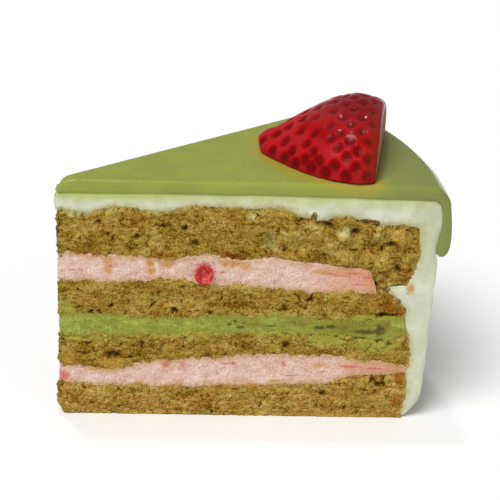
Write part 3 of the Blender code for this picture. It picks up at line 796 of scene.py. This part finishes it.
def makeFillingFinish(node, tones):
    cream = Finish(node, Roughness=0.7, Specular_IOR_Level=0.2)
    cream.colour = tones["pale"]
    cream.paint(tones["deep"], cream.noise(5.0, 3.0, 0.6), 0.35, 0.68)
    # painted shade and painted highlights on the cream's clots, standing in for their relief
    clotShading = cream.noise(1.7, 4.0, 0.7, (0.6, 0.6, 1.0), (2.0, 0.0, 1.0))
    cream.paint(tones["shaded"], clotShading, 0.34, 0.5, 0.7, 0.0)
    cream.paint(tones["clotHighlight"], clotShading, 0.5, 0.64, 0.0, 0.9)
    # painted shade: fine dark specks for the cream's small pores, and darker where the relief sinks into
    # pits
    cream.paint(tones["pore"], cream.noise(0.5, 2.0, 0.7), 0.36, 0.62, tones["grainy"], 0.0)
    cream.paint(tones["pore"], cream.stored("pore"), -0.2, -0.04, 0.55, 0.0)
    ragged = cream.wander(1.9, 1.1, 3.0, 0.65)
    smear = cream.stored("smear") + cream.wander(4.0, 1.0, 4.0, 0.75)
    cream.paint(tones["smear"], smear, -0.2, 0.8, 0.0, 0.85)
    cream.paint(tones["scorch"], smear, 0.8, 1.4, 0.0, 0.7)
    cream.paint(tones["blush"], cream.stored("blush") + ragged * 0.5, 0.0, 1.0, 0.0, 0.65)
    # red fruit specks in the pink cream; in the green cream, painted shade in small dark pits
    for x, z, wide, high in specksAndShadedPits[node]:
        here = cream.spot(x, z, wide * 1.8, high * 2.0) + ragged * 1.2
        cream.paint(tones["speckAndPitShade"], here, -0.1, 1.1, 0.0, tones["specked"])
    if node == "strawberry_cream_upper":
        cream.paint((0.75, 0.22, 0.22), cream.spot(*dice["halo"]) + ragged * 0.5, 0.0, 0.8, 0.0, 0.6)
    near = cream.stored("crumb")
    cream.paint(tones["stain"], near + cream.wander(4.0, 1.6, 3.0, 0.65), -0.5, 1.5, 0.85, 0.0)
    crumbs = near + cream.wander(5.0, 1.1, 3.0, 0.65, (1.0, 1.0, 1.0), (4.0, 1.0, 0.0))
    cream.paint((0.27, 0.16, 0.025), crumbs, -0.9, 0.1, 0.8, 0.0)
    cream.use("Base Color", cream.colour)
    cream.bump(cream.noise(0.8, 3.0, 0.65), 0.35, 0.8)
    return cream.material


def closePocket(piece):
    # the hole that the diced fruit sits in, which the fruit covers
    middle = inCake(*dice["solid"])

    def inPocket(centre, normal):
        return (centre - middle).length < dice["pocket"] * mm and not onFrontCut(centre, normal)

    selectFaces(piece, inPocket)
    bpy.ops.mesh.delete(type="FACE")
    bpy.ops.mesh.select_mode(type="EDGE")
    bpy.ops.mesh.select_non_manifold(extend=False)
    bpy.ops.mesh.edge_face_add()
    objectMode()


def makeFilling(node, tones):
    piece = copyOfNode(node, node + "_filling")
    if node == "strawberry_cream_upper":
        closePocket(piece)
    else:
        shiftFaces(piece, onTip, tipBack)
    overlapLayer(piece, filling["overlap"])
    refineCuts(piece, filling["fineCuts"])
    for name, size, height in filling["wavy"]:
        displace(piece, clouds(name, size), height, 0.5, "", "Z")
    displace(piece, clouds("lumps", filling["lumpSize"]), filling["lumpHeight"], 0.45, "cut")
    before, facing = positions(piece), normals(piece)
    pores = reliefTexture("pores", "VORONOI", filling["poreSize"], [(0.0, 0.0), (0.2, 0.3), (0.4, 1.0)])
    displace(piece, pores, filling["poreDepth"], 1.0, "cut")
    displace(piece, clouds("grain", filling["grainSize"], 1), filling["grainHeight"], 0.5, "cut")
    keepValues(piece, "pore", risen(piece, before, facing))
    keepValues(piece, "crumb", awayFrom(piece, sponges, inCut(piece)))
    keepValues(piece, "smear", spotValues(piece, smears[node]))
    keepValues(piece, "blush", spotValues(piece, blushes[node]))
    finishPiece(piece, makeFillingFinish(node, tones), node)


# Cream coat

coat = {
    "voxel": 0.48, "smoothing": 5, "grow": 0.32, "setBack": 0.1,
    "overlap": 0.8, "innerOverlap": 0.5, "sink": 1.3, "lift": 0.35,
    "swellSize": 9.0, "swellHeight": 1.8, "swellTop": 56.0, "markSize": 6.0, "markHeight": 0.6,
    "footHigh": 5.0, "footIn": 2.4, "footDown": 0.7,
    # notches in the cream on the front cut, painted as crumb in shade: across, up, half width, half height
    "shadedNotches": [
        (86.0, 38.6, 3.4, 1.8), (67.7, 58.4, 1.1, 2.0), (69.8, 57.0, 1.8, 1.1), (81.6, 57.9, 2.6, 0.9),
        (84.0, 57.2, 1.0, 1.3),
    ],
}


def makeCoatFinish():
    cream = Finish("coat cream", Roughness=0.55, Specular_IOR_Level=0.3)
    cream.glow(0.25, (1.0, 0.9, 0.6), 1.5)
    patches = cream.noise(6.0, 3.0, 0.6)
    cream.colour = (0.68, 0.71, 0.55)
    cream.paint((0.58, 0.60, 0.46), patches, 0.35, 0.7)
    # the glaze shines through at the top, and the rim is in shade
    up = cream.axis("Z") + cream.wander(3.0, 3.0, 2.0) * mm
    cream.paint((0.46, 0.51, 0.16), up, 60.0 * mm, 65.0 * mm, 0.0, 0.85)
    cream.paint((0.42, 0.48, 0.10), cream.spot(14.0, 66.5, 32.0, 4.5), 0.0, 0.7, 0.0, 0.75)
    rim = cream.spot(97.0, 52.0, 9.0, 16.0) + (patches - 0.5) * 1.5
    cream.paint((0.45, 0.47, 0.26), rim, 0.0, 1.0, 0.0, 0.45)
    near = cream.stored("crumb")
    cream.paint((0.45, 0.41, 0.15), near + cream.wander(4.0, 2.0, 3.0, 0.65), -0.6, 2.0, 0.85, 0.0)
    cream.paint((0.30, 0.20, 0.032), near + cream.wander(5.5, 1.3, 3.0, 0.7), -0.9, 0.1, 0.8, 0.0)
    stain = cream.spot(94.2, 38.8, 1.7, 2.2) + cream.wander(2.0, 1.2, 3.0)
    cream.paint((0.50, 0.24, 0.04), stain, 0.1, 0.9, 0.0, 0.8)
    # painted shade: crumb showing in notches of the cream, darkened as if lying in their shade
    torn = cream.wander(2.4, 0.9, 3.0, 0.7)
    notchShade = 0.0
    for x, z, wide, high in coat["shadedNotches"]:
        notchShade = cream.between(cream.spot(x, z, wide, high) + torn, 0.0, 0.5) + notchShade
    crumbs = cream.between(cream.noise(0.7, 3.0, 0.7), 0.4, 0.6)
    dark = cream.mix(crumbs, (0.085, 0.034, 0.004), (0.27, 0.125, 0.022))
    cream.cover(cream.between(notchShade, 0.0, 1.0, 0.0, 0.95), dark, 0.95)
    cream.use("Base Color", cream.colour)
    cream.bump(cream.noise(1.2, 3.0, 0.6), 0.12, 0.6)
    return cream.material


def onCoatFoot(centre, normal):
    return normal.z < -0.3 and centre.z < 4.0 * mm


def onCoatUnderside(centre, normal):
    return normal.z < -0.4 and centre.z > 50.0 * mm


def onCoatTop(centre, normal):
    return normal.z > 0.7 and centre.z > 62.0 * mm


def makeCoat():
    piece = copyOfNode("cream_coat", "cream_coat_spread")
    shiftFaces(piece, onCoatFoot, Vector((0.0, 0.0, -coat["sink"] * mm)))
    shiftFaces(piece, onCoatUnderside, Vector((0.0, 0.0, -coat["overlap"] * mm)))
    widenFaces(piece, facesAxis, 1.0 - coat["innerOverlap"] / 96.0)
    evenFaces(piece, coat)
    shiftFaces(piece, onFrontCut, -(coat["grow"] + coat["setBack"]) * mm * frontOut)
    shiftFaces(piece, onRearCut, -(coat["grow"] + coat["setBack"]) * mm * rearOut)
    shiftFaces(piece, onCoatTop, Vector((0.0, 0.0, coat["lift"] * mm)))
    shiftFaces(piece, onTip, tipForward)
    spots = positions(piece)
    radial = (spots - np.array(cakeAxis)) * (1.0, 1.0, 0.0)
    radial /= np.linalg.norm(radial, axis=1)[:, None]
    foot = np.clip(1.0 - spots[:, 2] / (coat["footHigh"] * mm), 0.0, 1.0)
    spots -= radial * (foot * coat["footIn"] * mm)[:, None]
    spots[:, 2] -= foot * coat["footDown"] * mm
    movePoints(piece, spots)
    outer = (normals(piece) * radial).sum(1)
    keepWeights(piece, "outside", outer * ((outer > 0.3) & (spots[:, 2] < coat["swellTop"] * mm)))
    displace(piece, clouds("swell", coat["swellSize"], 1), coat["swellHeight"], 0.5, "outside")
    displace(piece, clouds("palette knife", coat["markSize"]), coat["markHeight"], 0.5, "")
    facing = normals(piece)
    onFace = (facing @ np.array(frontOut) > 0.8) | (facing @ np.array(rearOut) > 0.8)
    keepValues(piece, "crumb", awayFrom(piece, sponges, onFace))
    finishPiece(piece, makeCoatFinish(), "cream_coat")


# Glaze

glazing = {"voxel": 0.4, "smoothing": 6, "grow": 0.15}


def makeGlaze():
    icing = Finish("matcha glaze", Roughness=0.22, Specular_IOR_Level=0.25)
    icing.glow(0.2, (0.8, 1.0, 0.3), 1.5)
    icing.colour = (0.29, 0.335, 0.050)
    icing.paint((0.265, 0.30, 0.056), icing.noise(9.0, 2.0, 0.5), 0.35, 0.7)
    icing.paint((0.07, 0.08, 0.02), icing.noise(0.8, 0.0, 0.5), 0.80, 0.84, 0.0, 0.8)
    # painted shadow: the glaze darker to the right, where the strawberry shades it
    icing.paint((0.195, 0.222, 0.058), icing.axis("X"), inCake(80, 0, 0).x, inCake(92, 0, 0).x, 0.0, 0.75)
    # painted reflection: the strawberry's red mirrored in the glaze round it
    reflectedRed = icing.stored("juice") + icing.wander(3.0, 3.0, 2.0)
    icing.paint((0.42, 0.27, 0.035), reflectedRed, 0.3, 4.5, 0.6, 0.0)
    icing.use("Base Color", icing.colour)
    piece = copyOfNode("glaze", "glaze_poured")
    evenFaces(piece, glazing)
    shiftFaces(piece, onTip, tipForward)
    fruit = positions(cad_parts["strawberry"])
    tree = searchTree(fruit, range(len(fruit)))
    keepValues(piece, "juice", [tree.find(spot.tolist())[2] / mm for spot in positions(piece)])
    finishPiece(piece, icing.material, "glaze")


# Strawberry

berry = {
    "tip": (54.0, 27.5), "turn": math.radians(-9.5), "length": 33.2, "fullest": 26.8,
    "front": 22.7, "back": 19.9, "widthGrowth": 0.89, "height": 14.9, "heightGrowth": 1.33, "blunt": 4.0,
    "bed": 68.2, "endSkew": math.radians(-0.7),
    "level": 3,
    "rowStep": 4.4, "dimpleApart": 5.4, "dimpleGap": 2.7, "scatter": 0.45,
    "quiltReach": 3.1, "quiltDepth": 0.07, "dimpleReach": 2.0, "dimpleDepth": 0.45,
    "seedSize": (0.40, 0.26, 0.13), "seedOff": 2.2, "seedOverBed": 0.8, "seedFromEnd": 1.3,
}


def berryPoint(distance, swing):
    # a point of the half strawberry's skin, from how far it is along and how far round
    swell = math.sin(math.pi / 2 * distance / berry["fullest"])
    blunt = berry["blunt"] * math.exp(-distance / 9.0)
    width = berry["back" if math.cos(swing) > 0.0 else "front"] * swell ** berry["widthGrowth"] + blunt
    across = width * math.cos(swing)
    up = (berry["height"] * swell ** berry["heightGrowth"] + blunt) * math.sin(swing)
    skew = math.tan(berry["endSkew"]) * (distance / berry["length"]) ** 3
    along = Matrix.Rotation(berry["turn"], 3, "Z")
    return inCake(*berry["tip"], berry["bed"]) + along @ Vector((distance - skew * across, across, up)) * mm


def dimpleCentres():
    # staggered rows from the tip to the hull end
    chance = random.Random(7)
    scatter = berry["scatter"]
    centres = []
    distance = 1.6
    row = 0
    while distance < berry["length"] - 1.0:
        along = math.pi / 2 * distance / berry["fullest"]
        half = (berry["front"] + berry["back"] + berry["height"]) * 0.92 * math.sin(along)
        half += 2.0 * berry["blunt"]
        count = max(round(half / berry["dimpleApart"]), 1)
        for place in range(count + row % 2):
            swing = math.pi * (place + (0.0 if row % 2 else 0.5)) / count
            swing += chance.uniform(-1.0, 1.0) * scatter * math.pi / half
            centres.append(berryPoint(distance + chance.uniform(-1.0, 1.0) * scatter, swing))
        slope = berry["front"] * math.pi / 2 / berry["fullest"] * math.cos(along)
        distance += 0.62 * berry["rowStep"] / math.sqrt(1.0 + slope * slope)
        row += 1
    return centres


def makeBerrySkin():
    skin = Finish("strawberry skin", Roughness=0.35, Specular_IOR_Level=0.04, Coat_Roughness=0.07)
    skin.glow(0.25, (1.0, 0.2, 0.12), 1.6)
    bed = berry["bed"]
    height = skin.axis("Z")
    pit = skin.stored("pit")
    # only the crown is wet enough to shine
    skin.use("Coat Weight", skin.between(height, (bed + 9.0) * mm, (bed + 11.5) * mm, 0.02, 0.45))
    skin.colour = (0.385, 0.0025, 0.005)
    skin.paint((0.28, 0.002, 0.004), skin.noise(6.0, 2.0, 0.5), 0.35, 0.7)
    # painted shade: darker towards the top
    skin.paint((0.19, 0.0015, 0.005), height, (bed + 10.5) * mm, (bed + 15.0) * mm, 0.0, 0.8)
    # painted shade: darker towards the bed it lies on
    skin.paint((0.24, 0.002, 0.006), height, (bed + 3.0) * mm, bed * mm, 0.0, 0.5)
    # painted sheen between the dimples on the lower side, and painted shade in them
    sides = skin.between(height, (bed + 10.0) * mm, (bed + 7.0) * mm)
    ridgeSheen = skin.between(pit, 0.02, 0.12, 1.0, 0.0) * sides
    skin.colour = skin.mix(ridgeSheen * 0.3, skin.colour, (0.50, 0.03, 0.035))
    skin.paint((0.13, 0.002, 0.004), pit, 0.1, 0.75, 0.0, 0.75)
    # painted shade: darker towards the cut end
    skin.paint((0.17, 0.018, 0.007), skin.stored("toEnd"), 4.5, 1.0, 0.0, 0.6)
    skin.use("Base Color", skin.colour)
    inside = skin.between(skin.stored("flesh") + skin.wander(1.2, 0.8, 2.0, 0.6), 0.1, 1.3)
    low = skin.between(height, (bed + 9.0) * mm, (bed + 1.0) * mm)
    skin.cover(inside, skin.mix(low, (0.37, 0.22, 0.17), (0.42, 0.22, 0.11)), 0.9)
    return skin.material


def makeBerry():
    piece = copyOfNode("strawberry", "strawberry_half")
    endOut = Matrix.Rotation(berry["turn"] + berry["endSkew"], 3, "Z") @ Vector((1.0, 0.0, 0.0))
    shiftFaces(piece, lambda centre, normal: normal.z < -0.9, Vector((0.0, 0.0, -0.2 * mm)))
    mergeTriangles(piece)
    objectMode()
    for flat in (endOut, Vector((0.0, 0.0, -1.0))):
        selectFaces(piece, lambda centre, normal: normal.dot(flat) > 0.97)
        bpy.ops.mesh.region_to_loop()
        bpy.ops.transform.edge_crease(value=0.8)
        objectMode()
    applyModifier(piece, "SUBSURF", levels=berry["level"], render_levels=berry["level"])
    spots = positions(piece)
    facing = normals(piece)
    towardsEnd = facing @ np.array(endOut)
    onSkin = (towardsEnd < 0.9) & (facing[:, 2] > -0.9)
    endPoint = berryPoint(berry["length"], math.pi / 2)
    lowest = inCake(0, 0, berry["bed"]).z + berry["seedOverBed"] * mm
    tree = searchTree(spots, range(len(spots)))
    quilt = np.zeros(len(spots))
    pit = np.zeros(len(spots))
    seeds = []
    for centre in dimpleCentres():
        middle, index, away = tree.find(centre)
        if away > berry["seedOff"] * mm or not onSkin[index] or middle.z < lowest:
            continue
        if (middle - endPoint).dot(endOut) > -berry["seedFromEnd"] * mm:
            continue
        if any(np.linalg.norm(spots[index] - spots[other]) < berry["dimpleGap"] * mm for other in seeds):
            continue
        seeds.append(index)
        for near, other, apart in tree.find_range(middle, berry["quiltReach"] * mm):
            share = max(1.0 - (apart / (berry["quiltReach"] * mm)) ** 2, 0.0)
            quilt[other] = max(quilt[other], share * onSkin[other])
            share = max(1.0 - (apart / (berry["dimpleReach"] * mm)) ** 2, 0.0)
            pit[other] = max(pit[other], share ** 1.5 * onSkin[other])
    for name, weights, depth in (("quilt", quilt, "quiltDepth"), ("dimple", pit, "dimpleDepth")):
        keepWeights(piece, name, weights)
        applyModifier(piece, "DISPLACE", strength=-berry[depth] * mm, mid_level=0.0, vertex_group=name)
    keepValues(piece, "pit", pit)
    keepValues(piece, "toEnd", (np.array(endPoint) - spots) @ np.array(endOut) / mm)
    onEnd = towardsEnd > 0.97
    edge = searchTree(spots, np.nonzero(~onEnd)[0])
    flesh = np.zeros(len(spots))
    for index in np.nonzero(onEnd)[0]:
        flesh[index] = edge.find(spots[index].tolist())[2] / mm
    keepValues(piece, "flesh", flesh)
    finishPiece(piece, makeBerrySkin(), "strawberry")
    return piece, seeds


def makeSeeds(piece, places):
    skin = Finish("strawberry seed", Roughness=0.8, Specular_IOR_Level=0.0)
    skin.colour = (0.09, 0.004, 0.004)
    skin.paint((0.15, 0.012, 0.006), skin.noise(5.0, 1.0, 0.5), 0.35, 0.65)
    skin.use("Base Color", skin.colour)
    along = Matrix.Rotation(berry["turn"], 3, "Z") @ Vector((1.0, 0.0, 0.0))
    made = []
    for index in places:
        vertex = piece.data.vertices[index]
        out = vertex.normal.copy()
        side = out.cross(along).normalized()
        turn = Matrix((side.cross(out), side, out)).transposed().to_euler()
        bpy.ops.mesh.primitive_uv_sphere_add(segments=10, ring_count=7, radius=mm, location=vertex.co,
                                             rotation=turn)
        bpy.context.object.scale = berry["seedSize"]
        made.append(bpy.context.object)
    bpy.ops.object.select_all(action="DESELECT")
    for seed in made:
        seed.select_set(True)
    bpy.context.view_layer.objects.active = made[0]
    bpy.ops.object.join()
    bpy.ops.object.transform_apply(location=True, rotation=True, scale=True)
    seeds = bpy.context.object
    seeds.name = "strawberry_seeds"
    finishPiece(seeds, skin.material, "")


def makeFruitPiece():
    flesh = Finish("fruit flesh", Roughness=0.35, Specular_IOR_Level=0.2)
    patches = flesh.noise(1.0, 3.0, 0.65)
    flesh.colour = (0.52, 0.018, 0.022)
    flesh.paint((0.76, 0.17, 0.14), patches, 0.44, 0.70)
    flesh.use("Base Color", flesh.colour)
    flesh.bump(patches, 0.5, 0.8)
    piece = copyOfNode("fruit_piece", "fruit_dice")
    applyModifier(piece, "SUBSURF", levels=3, render_levels=3)
    editAll(piece)
    bpy.ops.transform.tosphere(value=0.7, center_override=inCake(*dice["solid"]))
    bpy.ops.transform.resize(value=dice["stretch"], center_override=inCake(*dice["solid"]))
    bpy.ops.transform.translate(value=Vector(dice["move"]) * mm)
    objectMode()
    displace(piece, clouds("dice", dice["unevenSize"]), dice["uneven"], 0.5, "")
    finishPiece(piece, flesh.material, "fruit_piece")


setCamera()
setLights()
makeFloor()
spongeFinish = makeSpongeFinish()
for node in sponges:
    makeSponge(node, spongeFinish)
makeFilling("strawberry_cream_lower", pinkTones)
makeFilling("strawberry_cream_upper", pinkTones)
makeFilling("matcha_cream", matchaTones)
makeCoat()
makeGlaze()
berryPiece, seedPlaces = makeBerry()
makeSeeds(berryPiece, seedPlaces)
makeFruitPiece()
